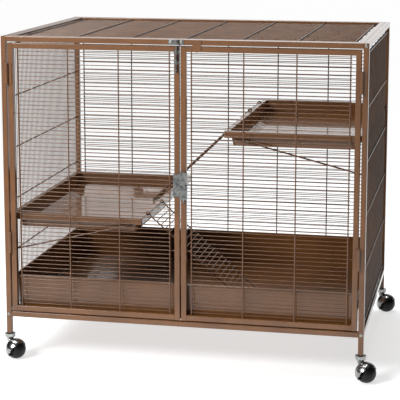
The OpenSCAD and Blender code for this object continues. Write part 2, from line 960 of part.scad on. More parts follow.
// A ball cut flat at both sides, with a ring recess in each side, turned about its axle
module caster_wheel(c)
{
    recess = 3;
    bore = axle_r + running;
    hub = axle_r + 4;
    color(rubber_black)
        at_wheel(c)
            rotate([90, 0, 0])
                rotate_extrude($fn = 2 * round_facets)
                    difference() {
                        intersection() {
                            circle(r = wheel_r, $fn = 2 * round_facets);
                            translate([bore, -wheel_half])
                                square([wheel_r, 2 * wheel_half]);
                        }
                        for (s = [-1, 1])
                            translate([(hub + wheel_half * 0.62) / 2, s * wheel_half])
                                square([wheel_half * 0.62 - hub, 2 * recess], center = true);
                    }
}

module caster_axle(c)
{
    color(galvanised) at_wheel(c) cross_bar(-1, hood_r + 0.3, axle_r);
}

module caster_stems()
{
    color(galvanised)
        for (c = CORNERS)
            at_corner(c)
                translate([0, 0, stem_low])
                    cylinder(h = leg_end + socket_depth - stem_low, r = stem_r,
                        $fn = round_facets);
}

// Plug inside the post end, with a flange under it
module leg_sockets()
{
    plug = tube - 2 * tube_wall - 0.2;
    color(rubber_black)
        for (c = CORNERS)
            translate([c[0] * post_x, c[1] * post_y, leg_end - socket_flange])
                difference() {
                    union() {
                        linear_extrude(socket_flange) rounded_rect(tube, tube, tube_round);
                        translate([-plug / 2, -plug / 2, 0])
                            cube([plug, plug, socket_flange + socket_depth]);
                    }
                    cylinder(h = 3 * socket_depth, r = stem_r + running, center = true,
                        $fn = round_facets);
                }
}

// ---------------------------------------------------------------- the assembly

post(left, front);  // post_front_left
post(right, front);  // post_front_right
post(left, back);  // post_back_left
post(right, back);  // post_back_right
long_rail(front, top_z);  // rail_front_top
long_rail(front, low_z);  // rail_front_bottom
long_rail(back, top_z);  // rail_back_top
long_rail(back, low_z);  // rail_back_bottom
side_rails(top_z);  // side_top_rails
side_rails(low_z);  // side_bottom_rails
roof_frame_tubes();
tray_support_bars();
side_grille(left);  // grille_left
side_grille(right);  // grille_right
grille_back();
grille_roof();
tray();
upper_shelf_pan();
lower_shelf_pan();
upper_shelf_braces();
lower_shelf_braces();
shelf_clip_bolts();
upper_ramp();
lower_ramp();
door_stile(-outer_stile_x);  // left_door_outer_stile
door_stile(-meeting_stile_x);  // left_door_meeting_stile
door_rail(left, door_top - tube / 2);  // left_door_top_rail
door_rail(left, door_low + tube / 2);  // left_door_bottom_rail
door_stile(outer_stile_x);  // right_door_outer_stile
door_stile(meeting_stile_x);  // right_door_meeting_stile
door_rail(right, door_top - tube / 2);  // right_door_top_rail
door_rail(right, door_low + tube / 2);  // right_door_bottom_rail
door_grille(left);  // left_door_grille
door_grille(right);  // right_door_grille
hinge_post_leaves();
at_hinges(left) hinge_leaf(true);  // left_door_hinge_leaves
at_hinges(right) hinge_leaf(true);  // right_door_hinge_leaves
hinge_pins();
bolt_saddle();
top_bolt();
top_bolt_guides();
latch_housing();
latch_bolt();
latch_keeper();
stop_tab();
caster_stems();
leg_sockets();
frame_screws();
caster_hood(CORNERS[0]);  // caster_hood_front_left
caster_wheel(CORNERS[0]);  // caster_wheel_front_left
caster_axle(CORNERS[0]);  // caster_axle_front_left
caster_hood(CORNERS[1]);  // caster_hood_front_right
caster_wheel(CORNERS[1]);  // caster_wheel_front_right
caster_axle(CORNERS[1]);  // caster_axle_front_right
caster_hood(CORNERS[2]);  // caster_hood_back_left
caster_wheel(CORNERS[2]);  // caster_wheel_back_left
caster_axle(CORNERS[2]);  // caster_axle_back_left
caster_hood(CORNERS[3]);  // caster_hood_back_right
caster_wheel(CORNERS[3]);  // caster_wheel_back_right
caster_axle(CORNERS[3]);  // caster_axle_back_right
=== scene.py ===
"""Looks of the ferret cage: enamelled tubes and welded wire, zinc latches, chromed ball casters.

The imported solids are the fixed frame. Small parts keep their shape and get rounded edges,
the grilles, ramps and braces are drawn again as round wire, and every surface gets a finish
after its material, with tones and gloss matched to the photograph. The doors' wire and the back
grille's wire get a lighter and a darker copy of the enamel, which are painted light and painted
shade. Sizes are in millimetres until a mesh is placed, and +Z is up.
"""

import json
import logging
import math
from collections.abc import Sequence
from dataclasses import dataclass, field
from enum import Enum

import bmesh
import bpy
from mathutils import Matrix, Vector

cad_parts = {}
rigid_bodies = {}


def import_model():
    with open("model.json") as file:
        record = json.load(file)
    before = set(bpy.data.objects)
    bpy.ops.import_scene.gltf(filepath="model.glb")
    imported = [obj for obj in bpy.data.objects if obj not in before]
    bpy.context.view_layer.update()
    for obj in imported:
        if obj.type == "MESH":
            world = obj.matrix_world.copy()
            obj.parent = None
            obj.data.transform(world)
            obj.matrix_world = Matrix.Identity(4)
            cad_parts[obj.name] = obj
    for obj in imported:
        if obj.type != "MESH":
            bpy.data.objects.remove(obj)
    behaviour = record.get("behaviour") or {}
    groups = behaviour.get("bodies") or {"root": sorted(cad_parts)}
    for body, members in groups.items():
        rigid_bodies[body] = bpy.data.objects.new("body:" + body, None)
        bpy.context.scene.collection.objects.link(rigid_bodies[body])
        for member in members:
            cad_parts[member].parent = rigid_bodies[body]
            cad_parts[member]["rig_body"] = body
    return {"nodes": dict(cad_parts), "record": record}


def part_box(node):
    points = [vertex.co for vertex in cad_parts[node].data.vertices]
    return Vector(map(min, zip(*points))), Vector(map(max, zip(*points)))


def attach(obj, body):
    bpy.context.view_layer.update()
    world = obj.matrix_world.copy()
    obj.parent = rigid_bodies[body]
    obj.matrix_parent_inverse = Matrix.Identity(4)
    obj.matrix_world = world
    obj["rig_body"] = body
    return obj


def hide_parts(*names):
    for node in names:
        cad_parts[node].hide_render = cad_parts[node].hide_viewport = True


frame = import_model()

LOG = logging.getLogger("cage")
MM = 0.001
WHITE = "#ffffff"
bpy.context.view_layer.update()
CORNERS = ("front_left", "front_right", "back_left", "back_right")
# The colour sockets of a Mix node, which share their names with its other sockets
MIX_A, MIX_B, MIX_RESULT = 6, 7, 2
# The axes by number, as a grille names them
X, Y, Z = range(3)
# Where noise runs from its low to its high tone, and cells from their tops to their seams
NOISE_LOW, NOISE_HIGH = 0.3, 0.7
CELL_TOP, CELL_SEAM = 0.25, 0.75
CELL_SMOOTHNESS = 0.6
# Corners closer than this, in metres, are one corner
SAME_PLACE = 1e-6
# Triangles that lie this flat to one another are one face, and edges sharper than this get rounded
FLAT_DEG = 0.5
SHARP_DEG = 40
# Round wire shades smoothly over edges up to this angle
WIRE_SMOOTH_DEG = 60


class Slot(Enum):
    """The record's material slots."""

    PAINT = "hammered_paint"
    STEEL = "galvanised_wire"
    ZINC = "zinc"
    CHROME = "chrome"
    RUBBER = "wheel_rubber"
    PLASTIC = "black_plastic"


# ---------------------------------------------------------------- colour and nodes


def linear(code: str) -> tuple[float, float, float, float]:
    """Turns an sRGB hex colour into the linear colour that a shader reads.

    Args:
        code: The colour as "#rrggbb".

    Returns:
        Red, green, blue and an alpha of one.
    """
    parts = [int(code[i : i + 2], 16) / 255 for i in (1, 3, 5)]
    red, green, blue = (
        c / 12.92 if c <= 0.04045 else ((c + 0.055) / 1.055) ** 2.4 for c in parts
    )
    return red, green, blue, 1.0


def add_node(
    tree: bpy.types.NodeTree,
    kind: str,
    settings: dict[str | int, object] | None = None,
    links: dict[str | int, bpy.types.NodeSocket] | None = None,
) -> bpy.types.Node:
    """Adds one node with its settings and its incoming links.

    Args:
        tree: The node tree that gets the node.
        kind: The node's type name.
        settings: Values by name: an input socket's, or its number, or else a property's.
        links: Sockets of other nodes, by the name or number of this node's input.

    Returns:
        The new node.
    """
    made = tree.nodes.new(kind)
    for name, value in (settings or {}).items():
        if isinstance(name, int) or name in made.inputs:
            made.inputs[name].default_value = value
        else:
            setattr(made, name, value)
    for name, socket in (links or {}).items():
        tree.links.new(socket, made.inputs[name])
    return made


def grain(size_mm: float) -> float:
    """The scale of a texture on Object coordinates whose cells are so many millimetres."""
    return 1 / (size_mm * MM)


@dataclass(frozen=True)
class Finish:
    """A surface: two close tones, a fine relief, a gloss that varies, and a clear coat."""

    name: str
    slot: Slot
    tone: str
    shade: str
    patch_mm: float
    relief_mm: float
    relief_depth_mm: float
    gloss: tuple[float, float]
    metallic: float = 0.0
    specular: float = 0.5
    coat: float = 0.0
    coat_roughness: float = 0.1
    cells: bool = False
    cell_shade: float = 0.0

    def material(self) -> bpy.types.Material:
        """The finish as a material, made on first use.

        Returns:
            The material of this finish.
        """
        known = bpy.data.materials.get(self.name)
        if known:
            return known
        made = bpy.data.materials.new(self.name)
        made.use_nodes = True
        tree = made.node_tree
        shader = tree.nodes["Principled BSDF"]
        places = add_node(tree, "ShaderNodeTexCoord").outputs["Object"]
        patches = add_node(
            tree,
            "ShaderNodeTexNoise",
            {"Scale": grain(self.patch_mm), "Detail": 3.0, "Roughness": 0.55},
            {"Vector": places},
        )
        relief = self._relief(tree, places)
        blend = add_node(
            tree,
            "ShaderNodeMapRange",
            {"From Min": NOISE_LOW, "From Max": NOISE_HIGH},
            {"Value": patches.outputs[0]},
        )
        colour = add_node(
            tree,
            "ShaderNodeMix",
            {"data_type": "RGBA", MIX_A: linear(self.tone), MIX_B: linear(self.shade)},
            {"Factor": blend.outputs["Result"]},
        )
        result = colour.outputs[MIX_RESULT]
        if self.cell_shade:
            result = self._darker_seams(tree, result, relief)
        gloss = add_node(
            tree,
            "ShaderNodeMapRange",
            {"To Min": self.gloss[0], "To Max": self.gloss[1]},
            {"Value": patches.outputs[0]},
        )
        bump = add_node(
            tree,
            "ShaderNodeBump",
            {"Strength": 1.0, "Distance": self.relief_depth_mm * MM},
            {"Height": relief},
        )
        tree.links.new(result, shader.inputs["Base Color"])
        tree.links.new(gloss.outputs["Result"], shader.inputs["Roughness"])
        tree.links.new(bump.outputs["Normal"], shader.inputs["Normal"])
        shader.inputs["Metallic"].default_value = self.metallic
        shader.inputs["Specular IOR Level"].default_value = self.specular
        shader.inputs["Coat Weight"].default_value = self.coat
        shader.inputs["Coat Roughness"].default_value = self.coat_roughness
        return made

    def _relief(
        self, tree: bpy.types.NodeTree, places: bpy.types.NodeSocket
    ) -> bpy.types.NodeSocket:
        """Adds the pattern that the relief follows.

        Args:
            tree: The material's nodes.
            places: Where on the piece a point lies.

        Returns:
            The socket with the height, from 0 to about 1.
        """
        if self.cells:
            cells = add_node(
                tree,
                "ShaderNodeTexVoronoi",
                {
                    "feature": "SMOOTH_F1",
                    "Scale": grain(self.relief_mm),
                    "Smoothness": CELL_SMOOTHNESS,
                    "Randomness": 1.0,
                },
                {"Vector": places},
            )
            return cells.outputs["Distance"]
        peel = add_node(
            tree,
            "ShaderNodeTexNoise",
            {"Scale": grain(self.relief_mm), "Detail": 2.0},
            {"Vector": places},
        )
        return peel.outputs[0]

    def _darker_seams(
        self,
        tree: bpy.types.NodeTree,
        colour: bpy.types.NodeSocket,
        relief: bpy.types.NodeSocket,
    ) -> bpy.types.NodeSocket:
        """Lets the paint look thinner and darker between the cells of its relief.

        Args:
            tree: The material's nodes.
            colour: The colour without the seams.
            relief: The height of the cells.

        Returns:
            The socket with the colour.
        """
        seam = add_node(
            tree,
            "ShaderNodeMapRange",
            {
                "From Min": CELL_TOP,
                "From Max": CELL_SEAM,
                "To Min": 0.0,
                "To Max": self.cell_shade,
            },
            {"Value": relief},
        )
        mix = add_node(
            tree,
            "ShaderNodeMix",
            {"data_type": "RGBA", MIX_B: linear(self.shade)},
            {"Factor": seam.outputs["Result"], MIX_A: colour},
        )
        return mix.outputs[MIX_RESULT]


# Stoved hammer-finish enamel over steel tube: the brown lies in shallow dimples of
# 2 to 3 mm under a glossy surface, so level faces turn pale where they mirror the studio
HAMMERED_ENAMEL = Finish(
    name="hammered_enamel_on_steel",
    slot=Slot.PAINT,
    tone="#704722",
    shade="#5c391a",
    patch_mm=60,
    relief_mm=2.6,
    relief_depth_mm=0.12,
    gloss=(0.35, 0.5),
    specular=0.2,
    coat=1.0,
    coat_roughness=0.12,
    cells=True,
    cell_shade=0.5,
)
# The same enamel on level and drafted sheet, where it flows out: shallower dimples, near mirror
SHEET_ENAMEL = Finish(
    name="hammered_enamel_on_sheet",
    slot=Slot.PAINT,
    tone="#6c4522",
    shade="#58371a",
    patch_mm=90,
    relief_mm=3.4,
    relief_depth_mm=0.05,
    gloss=(0.25, 0.4),
    specular=0.2,
    coat=1.0,
    coat_roughness=0.05,
    cells=True,
    cell_shade=0.6,
)
# The same enamel on thin wire, where it flows smooth and leaves only a slight orange peel
WIRE_ENAMEL = Finish(
    name="enamel_on_welded_wire",
    slot=Slot.PAINT,
    tone="#583b25",
    shade="#452d1a",
    patch_mm=35,
    relief_mm=1.4,
    relief_depth_mm=0.04,
    gloss=(0.5, 0.65),
    specular=0.08,
    coat=0.5,
    coat_roughness=0.15,
)
# The same enamel on the doors' wire, made lighter as painted light falling on the cage's front.
# Its tone is only matched to the photograph, where these wires look as brown as the tubes
LIT_DOOR_WIRE_ENAMEL = Finish(
    name="enamel_on_door_wire_painted_light",
    slot=Slot.PAINT,
    tone="#6c4b34",
    shade="#563b28",
    patch_mm=35,
    relief_mm=1.4,
    relief_depth_mm=0.04,
    gloss=(0.4, 0.55),
    specular=0.2,
    coat=0.6,
    coat_roughness=0.15,
)
# The same enamel on the back grille's wire, made darker as painted shade at the cage's back. Its
# tone and dullness are only matched to the photograph, where its thick wires look near black
# against the white ground
SHADED_BACK_WIRE_ENAMEL = Finish(
    name="enamel_on_back_wire_painted_shade",
    slot=Slot.PAINT,
    tone="#3a2a20",
    shade="#2c1f17",
    patch_mm=35,
    relief_mm=1.4,
    relief_depth_mm=0.04,
    gloss=(0.55, 0.7),
    specular=0.05,
    coat=0.25,
    coat_roughness=0.2,
)
# Bright zinc plating over die-cast and pressed latch parts: bluish, slightly cloudy
BRIGHT_ZINC = Finish(
    name="bright_zinc_plate",
    slot=Slot.ZINC,
    tone="#a3a39e",
    shade="#62666b",
    patch_mm=10,
    relief_mm=0.8,
    relief_depth_mm=0.02,
    gloss=(0.2, 0.38),
    metallic=1.0,
)
# Hot-dipped zinc on stems, axles and frame screws: a grey spangle with cells of some millimetres
DIPPED_ZINC = Finish(
    name="hot_dipped_zinc",
    slot=Slot.STEEL,
    tone="#b9b8b0",
    shade="#8f8d85",
    patch_mm=4,
    relief_mm=3,
    relief_depth_mm=0.02,
    gloss=(0.3, 0.5),
    metallic=1.0,
    cells=True,
    cell_shade=0.3,
)
# Polished chrome over pressed steel. It is set hazier than the real mirror, which would show
# little but the dark room here and make the hoods look black
CHROME_PLATE = Finish(
    name="polished_chrome_plate",
    slot=Slot.CHROME,
    tone="#bdbebc",
    shade="#7a7b7b",
    patch_mm=9,
    relief_mm=9,
    relief_depth_mm=0.12,
    gloss=(0.16, 0.3),
    metallic=1.0,
)
# Moulded rubber tread: black, soft gloss, with the fine pitting of the mould
MOULDED_RUBBER = Finish(
    name="moulded_rubber",
    slot=Slot.RUBBER,
    tone="#0e0e0f",
    shade="#080809",
    patch_mm=12,
    relief_mm=0.9,
    relief_depth_mm=0.04,
    gloss=(0.35, 0.5),
    specular=0.3,
)
# Moulded nylon sockets in the leg ends: black and matt, fine spark-eroded grain
MOULDED_NYLON = Finish(
    name="moulded_nylon",
    slot=Slot.PLASTIC,
    tone="#202124",
    shade="#151619",
    patch_mm=10,
    relief_mm=0.6,
    relief_depth_mm=0.03,
    gloss=(0.5, 0.62),
)


# ---------------------------------------------------------------- meshes


def mm(x: float, y: float, z: float) -> Vector:
    """A place given in millimetres, in the scene's metres."""
    return Vector((x, y, z)) * MM


def finished_piece(
    name: str,
    bm: bmesh.types.BMesh,
    finish: Finish,
    body: str,
    replaces: Sequence[str] = (),
    smooth_deg: float = 35,
    recalculate: bool = True,
) -> bpy.types.Object:
    """Turns a bmesh into an object of the scene with its finish and body.

    Args:
        name: The piece's name.
        bm: The shape, which is freed.
        finish: What its surface looks like.
        body: The body that it rides on.
        replaces: The solids that it stands for.
        smooth_deg: The angle above which an edge stays sharp.
        recalculate: Whether its faces are turned outwards again.

    Returns:
        The new object.
    """
    if recalculate:
        bmesh.ops.recalc_face_normals(bm, faces=bm.faces)
    mesh = bpy.data.meshes.new(name)
    bm.to_mesh(mesh)
    bm.free()
    mesh.materials.append(finish.material())
    mesh.shade_smooth()
    mesh.set_sharp_from_angle(angle=math.radians(smooth_deg))
    piece = bpy.data.objects.new(name, mesh)
    bpy.context.scene.collection.objects.link(piece)
    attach(piece, body)
    if replaces:
        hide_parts(*replaces)
    LOG.info("%s: %d faces", name, len(mesh.polygons))
    return piece


def body_of_node(node: str) -> str:
    """The name of the body that a solid belongs to."""
    return frame["nodes"][node]["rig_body"]


def level_normals(mesh: bpy.types.Mesh, smooth_deg: float) -> None:
    """Lets the normals follow the larger faces, so that only the roundings look round.

    Args:
        mesh: The mesh that gets the normals.
        smooth_deg: The angle above which two faces don't blend.
    """
    around: list[list[bpy.types.MeshPolygon]] = [[] for _ in mesh.vertices]
    for face in mesh.polygons:
        for vert in face.vertices:
            around[vert].append(face)
    limit = math.cos(math.radians(smooth_deg))
    normals = []
    for face in mesh.polygons:
        for vert in face.vertices:
            near = [f for f in around[vert] if f.normal.dot(face.normal) >= limit]
            total = sum((f.normal * f.area for f in near), Vector())
            normals.append(total.normalized())
    mesh.normals_split_custom_set(normals)


def rod(
    bm: bmesh.types.BMesh, start: Vector, end: Vector, radius: float, sides: int
) -> None:
    """Adds a straight round wire with flat ends.

    Args:
        bm: The shape that gets the wire.
        start: The middle of one end.
        end: The middle of the other end.
        radius: Half of its thickness.
        sides: How many faces go round it.
    """
    way = end - start
    turn = way.to_track_quat("Z", "Y").to_matrix().to_4x4()
    bmesh.ops.create_cone(
        bm,
        cap_ends=True,
        cap_tris=False,
        segments=sides,
        radius1=radius,
        radius2=radius,
        depth=way.length,
        matrix=Matrix.Translation((start + end) / 2) @ turn,
    )


def sweep(
    bm: bmesh.types.BMesh, path: Sequence[Vector], radius: float, sides: int
) -> None:
    """Adds a round wire that is bent along a path.

    Args:
        bm: The shape that gets the wire.
        path: Points along its middle, close together where it bends.
        radius: Half of its thickness.
        sides: How many faces go round it.
    """
    ways = [(b - a).normalized() for a, b in zip(path, path[1:])]
    heads = [ways[0], *((a + b).normalized() for a, b in zip(ways, ways[1:])), ways[-1]]
    turn = heads[0].to_track_quat("Z", "Y").to_matrix().to_4x4()
    place = Matrix.Translation(path[0]) @ turn
    ring = bmesh.ops.create_circle(
        bm, cap_ends=True, segments=sides, radius=radius, matrix=place
    )["verts"]
    edges = list({edge for vert in ring for edge in vert.link_edges})
    for before, head, point in zip(heads, heads[1:], path[1:]):
        turn = before.rotation_difference(head).to_matrix().to_4x4() @ turn
        there = Matrix.Translation(point) @ turn
        grown = bmesh.ops.extrude_edge_only(bm, edges=edges)["geom"]
        edges = [part for part in grown if isinstance(part, bmesh.types.BMEdge)]
        verts = [part for part in grown if isinstance(part, bmesh.types.BMVert)]
        bmesh.ops.transform(bm, matrix=there @ place.inverted(), verts=verts)
        place = there
    bmesh.ops.contextual_create(bm, geom=edges)


def rounded_path(
    corners: Sequence[Vector], bend_radius: float, steps: int = 6
) -> list[Vector]:
    """Rounds the corners of a bent wire's middle line.

    Args:
        corners: Its ends and the corners between them.
        bend_radius: The radius of the middle line in a bend.
        steps: How many points each bend gets, less one.

    Returns:
        The points of the rounded line.
    """
    path = [corners[0]]
    for before, here, after in zip(corners, corners[1:], corners[2:]):
        back, ahead = (before - here).normalized(), (after - here).normalized()
        half = back.angle(ahead) / 2
        reach = bend_radius / math.tan(half)
        middle = here + (back + ahead).normalized() * bend_radius / math.sin(half)
        start, end = here + back * reach - middle, here + ahead * reach - middle
        sweep_angle = start.angle(end)
        axis = start.cross(end).normalized()
        for i in range(steps + 1):
            path.append(middle + Matrix.Rotation(sweep_angle * i / steps, 3, axis) @ start)
    return [*path, corners[-1]]


def weld_bead(
    bm: bmesh.types.BMesh, place: Vector, half_sizes_mm: Sequence[float]
) -> None:
    """Adds the squeezed metal of the spot weld where two wires cross.

    Args:
        bm: The shape that gets the bead.
        place: The bead's middle in metres.
        half_sizes_mm: Half of its length along each axis.
    """
    size = Matrix.Diagonal((*(Vector(half_sizes_mm) * MM), 1))
    matrix = Matrix.Translation(place) @ size
    bmesh.ops.create_icosphere(bm, subdivisions=1, radius=1.0, matrix=matrix)


def joint_place(name: str) -> Vector:
    """Finds where a joint's axis lies.

    Args:
        name: The joint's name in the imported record.

    Returns:
        Its place in millimetres.
    """
    joints = frame["record"]["behaviour"]["joints"]
    return Vector(next(j["pos_m"] for j in joints if j["name"] == name)) / MM


@dataclass
class SoftEdges:
    """A solid that keeps its shape and gets the rounded edges of the real piece.

    edge_mm is the width of the rounding, and zero leaves the edges as they are.
    """

    nodes: Sequence[str]
    finish: Finish
    edge_mm: float = 0.0
    segments: int = 3
    smooth_deg: float = 35

    def build(self) -> None:
        """Makes one piece for each of the solids."""
        for node in self.nodes:
            self.piece(node)

    def piece(self, node: str) -> bpy.types.Object:
        """Makes the piece of one solid.

        Args:
            node: The solid's name.

        Returns:
            The new object.
        """
        bm = bmesh.new()
        bm.from_mesh(frame["nodes"][node].data)
        bmesh.ops.remove_doubles(bm, verts=bm.verts, dist=SAME_PLACE)
        if self.edge_mm:
            self._round(bm)
        piece = finished_piece(
            f"{node}_finished",
            bm,
            self.finish,
            body_of_node(node),
            [node],
            self.smooth_deg,
            recalculate=False,
        )
        level_normals(piece.data, self.smooth_deg)
        return piece

    def _round(self, bm: bmesh.types.BMesh) -> None:
        """Joins the flat triangles and bevels the sharp edges.

        Args:
            bm: The solid's mesh.
        """
        bmesh.ops.dissolve_limit(
            bm,
            angle_limit=math.radians(FLAT_DEG),
            verts=bm.verts,
            edges=bm.edges,
        )
        sharp = [
            edge
            for edge in bm.edges
            if edge.is_manifold and edge.calc_face_angle(0) > math.radians(SHARP_DEG)
        ]
        bmesh.ops.bevel(
            bm,
            geom=sharp,
            offset=self.edge_mm * MM,
            affect="EDGES",
            segments=self.segments,
            profile=0.5,
            material=-1,
            clamp_overlap=True,
        )


@dataclass
class KeptSolids:
    """Solids that show as they are, with a finish."""

    nodes: Sequence[str]
    finish: Finish

    def dress(self) -> None:
        """Gives each solid its finish."""
        for node in self.nodes:
            solid = frame["nodes"][node]
            solid.data.materials.clear()
            solid.data.materials.append(self.finish.material())
            LOG.info("%s: %s", node, self.finish.name)


# ---------------------------------------------------------------- welded wire grilles


@dataclass
class WireGrille:
    """A grille of fine wires in one plane with thick wires welded across their outer side.

    along, across and outward number the axes: along the fine wires, along the thick ones, and
    out of the cage, where side is the sign. Every sixteenth fine wire, counted from the middle
    one, reaches the frame. bead holds half of a weld bead's size along those three axes. Sizes
    are in millimetres.
    """

    node: str
    along: int
    across: int
    outward: int
    side: int
    columns: int
    edge: float = 5.0
    fine: float = 2.0
    thick: float = 3.2
    pitch: float = 10.4
    thick_edge: float = 12.5
    overhang: float = 3.0
    weld: float = 0.3
    bead: tuple[float, float, float] = (2.1, 1.6, 1.0)
    tie_step: int = 16
    sides: int = 8
    finish: Finish = WIRE_ENAMEL
    low: Vector = field(init=False)
    high: Vector = field(init=False)
    plane: float = field(init=False)

    def build(self) -> None:
        """Draws the wires and their welds."""
        low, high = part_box(self.node)
        self.low, self.high = low / MM, high / MM
        outer = (self.high if self.side > 0 else self.low)[self.outward] * self.side
        lift = (self.fine + self.thick) / 2 - self.weld
        self.plane = outer - self.thick / 2 - lift
        bead_size = Vector()
        for axis, size in zip((self.along, self.across, self.outward), self.bead):
            bead_size[axis] = size
        bm = bmesh.new()
        rows, columns = self.rows(), self.column_places()
        middle_along = (self.low[self.along] + self.high[self.along]) / 2
        long_half = (self.high[self.along] - self.low[self.along]) / 2
        short_half = columns[-1] - middle_along + self.overhang
        for index, row in rows:
            half = long_half if index % self.tie_step == 0 else short_half
            ends = [self.point(middle_along + s * half, row, 0) for s in (-1, 1)]
            rod(bm, *ends, self.fine / 2 * MM, self.sides)
        for column in columns:
            ends = [
                self.point(column, end, lift)
                for end in (self.low[self.across], self.high[self.across])
            ]
            rod(bm, *ends, self.thick / 2 * MM, self.sides)
            for _, row in rows:
                place = self.point(column, row, self.fine / 2 - self.weld / 2)
                weld_bead(bm, place, bead_size)
        finished_piece(
            f"{self.node}_wires",
            bm,
            self.finish,
            body_of_node(self.node),
            [self.node],
            WIRE_SMOOTH_DEG,
        )

    def point(self, along: float, across: float, out: float) -> Vector:
        """A point of the grille in the scene's metres.

        Args:
            along: Its place along the fine wires.
            across: Its place along the thick wires.
            out: How far it lies outside the fine wires' plane.

        Returns:
            The point.
        """
        place = Vector()
        place[self.along] = along
        place[self.across] = across
        place[self.outward] = self.side * (self.plane + out)
        return place * MM

    def rows(self) -> list[tuple[int, float]]:
        """Number and place of each fine wire, counted from the middle one.

        Returns:
            Pairs of a number and a place across the grille.
        """
        low, high = self.low[self.across], self.high[self.across]
        count = math.floor(((high - low) / 2 - self.edge) / self.pitch)
        return [(i, (low + high) / 2 + i * self.pitch) for i in range(-count, count + 1)]

    def column_places(self) -> list[float]:
        """Places of the thick wires, which are spread evenly.

        Returns:
            Places along the fine wires.
        """
        low = self.low[self.along] + self.thick_edge
        high = self.high[self.along] - self.thick_edge
        return [low + (high - low) * i / (self.columns - 1) for i in range(self.columns)]


# ---------------------------------------------------------------- ramps and braces


@dataclass
class WireRamp:
    """A ramp of one bent rail wire with an eye at each upper end and rungs welded on top.

    heading is +1 where the ramp runs down towards +X. It stands on the floor of the sheet metal
    node stands_on, whose metal is sheet thick. Along the ramp, straight_from is where the rail
    leaves its eye, and bead holds half of a weld bead's size. Sizes are in millimetres.
    """

    node: str
    heading: int
    stands_on: str
    sheet: float
    length: float = 378.0
    width: float = 152.0
    rail: float = 3.5
    rung: float = 2.5
    pitch: float = 14.2
    eye: float = 4.1
    eye_from_deg: int = 70
    eye_to_deg: int = 390
    eye_step_deg: int = 16
    straight_from: float = 12.0
    bend: float = 12.0
    first_rung: float = 16.0
    foot_margin: float = 5.0
    rung_end: float = 1.0
    weld: float = 0.3
    bead: tuple[float, float, float] = (1.9, 1.9, 1.1)
    clearance: float = 0.3
    rail_sides: int = 12
    rung_sides: int = 10

    def slope(self, drop: float) -> float:
        """Works out the angle at which the ramp's foot just clears what it stands on.

        Args:
            drop: How far the pivot lies above that floor.

        Returns:
            The angle below level, in radians.
        """
        half = self.rail / 2
        reach = math.hypot(self.length, half)
        return math.asin((drop - self.clearance) / reach) - math.atan2(half, self.length)

    def build(self) -> None:
        """Draws the rail wire and the rungs, and lays the ramp in its place."""
        bm = bmesh.new()
        for side in (-1, 1):
            self._rail_half(bm, side)
        reach = self.length - self.foot_margin - self.first_rung
        for i in range(int(reach // self.pitch) + 1):
            self._rung(bm, self.first_rung + self.pitch * i)
        pivot = joint_place(f"{self.node}_pivot")
        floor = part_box(self.stands_on)[0].z / MM + self.sheet
        turn = Matrix.Rotation(0 if self.heading > 0 else math.pi, 4, "Z")
        tilt = Matrix.Rotation(self.slope(pivot.z - floor), 4, "Y")
        bmesh.ops.transform(
            bm, matrix=Matrix.Translation(pivot * MM) @ turn @ tilt, verts=bm.verts
        )
        finished_piece(
            f"{self.node}_wires",
            bm,
            WIRE_ENAMEL,
            body_of_node(self.node),
            [self.node],
            WIRE_SMOOTH_DEG,
        )

    def _rail_half(self, bm: bmesh.types.BMesh, side: int) -> None:
        """Bends one half of the rail wire, from its eye round to the middle of the foot.

        Args:
            bm: The ramp's shape.
            side: -1 or +1, the side of the ramp.
        """
        y = side * self.width / 2
        foot = self.length - self.rail / 2
        turns = range(self.eye_from_deg, self.eye_to_deg + 1, self.eye_step_deg)
        ring = [math.radians(turn) for turn in reversed(turns)]
        eye = [Vector((self.eye * math.cos(a), y, self.eye * math.sin(a))) for a in ring]
        straight = [
            Vector((self.straight_from, y, 0)),
            Vector((foot, y, 0)),
            Vector((foot, 0, 0)),
        ]
        path = [point * MM for point in [*eye, *rounded_path(straight, self.bend)]]
        sweep(bm, path, self.rail / 2 * MM, self.rail_sides)

    def _rung(self, bm: bmesh.types.BMesh, x: float) -> None:
        """Lays one rung across the rails and welds it to both.

        Args:
            bm: The ramp's shape.
            x: How far down the ramp it lies.
        """
        lift = (self.rail + self.rung) / 2 - self.weld
        reach = self.width / 2 + self.rail / 2 + self.rung_end
        ends = [mm(x, side * reach, lift) for side in (-1, 1)]
        rod(bm, *ends, self.rung / 2 * MM, self.rung_sides)
        for side in (-1, 1):
            place = mm(x, side * self.width / 2, lift - self.rung / 2)
            weld_bead(bm, place, self.bead)


@dataclass
class ShelfBraces:
    """Two bent rods under a shelf: into its wall, down through the grille and up behind it.

    A rod starts inwards from the free edge of its shelf pan and under its rim, and leaves the
    cage at outer_x. side is +1 for a shelf at +X. Sizes are in millimetres.
    """

    node: str
    pan: str
    side: int
    inwards: float = 27.0
    under_rim: float = 19.0
    drop: float = 99.0
    outer_x: float = 453.55
    y: float = 286.0
    thickness: float = 4.0
    bent_in: float = 11.0
    hook: float = 14.0
    bend: float = 4.0
    sides: int = 16

    def build(self) -> None:
        """Draws both rods."""
        low, high = (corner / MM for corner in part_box(self.pan))
        start_x = self.side * (min(abs(low.x), abs(high.x)) + self.inwards)
        end_x = self.side * self.outer_x
        start_z, end_z = high.z - self.under_rim, high.z - self.drop
        bm = bmesh.new()
        for s in (-1, 1):
            corners = [
                mm(start_x, s * (self.y - self.bent_in), start_z),
                mm(start_x, s * self.y, start_z),
                mm(end_x, s * self.y, end_z),
                mm(end_x, s * self.y, end_z + self.hook),
            ]
            path = rounded_path(corners, self.bend * MM)
            sweep(bm, path, self.thickness / 2 * MM, self.sides)
        finished_piece(
            f"{self.node}_rods",
            bm,
            WIRE_ENAMEL,
            body_of_node(self.node),
            [self.node],
            WIRE_SMOOTH_DEG,
        )


# ---------------------------------------------------------------- latches


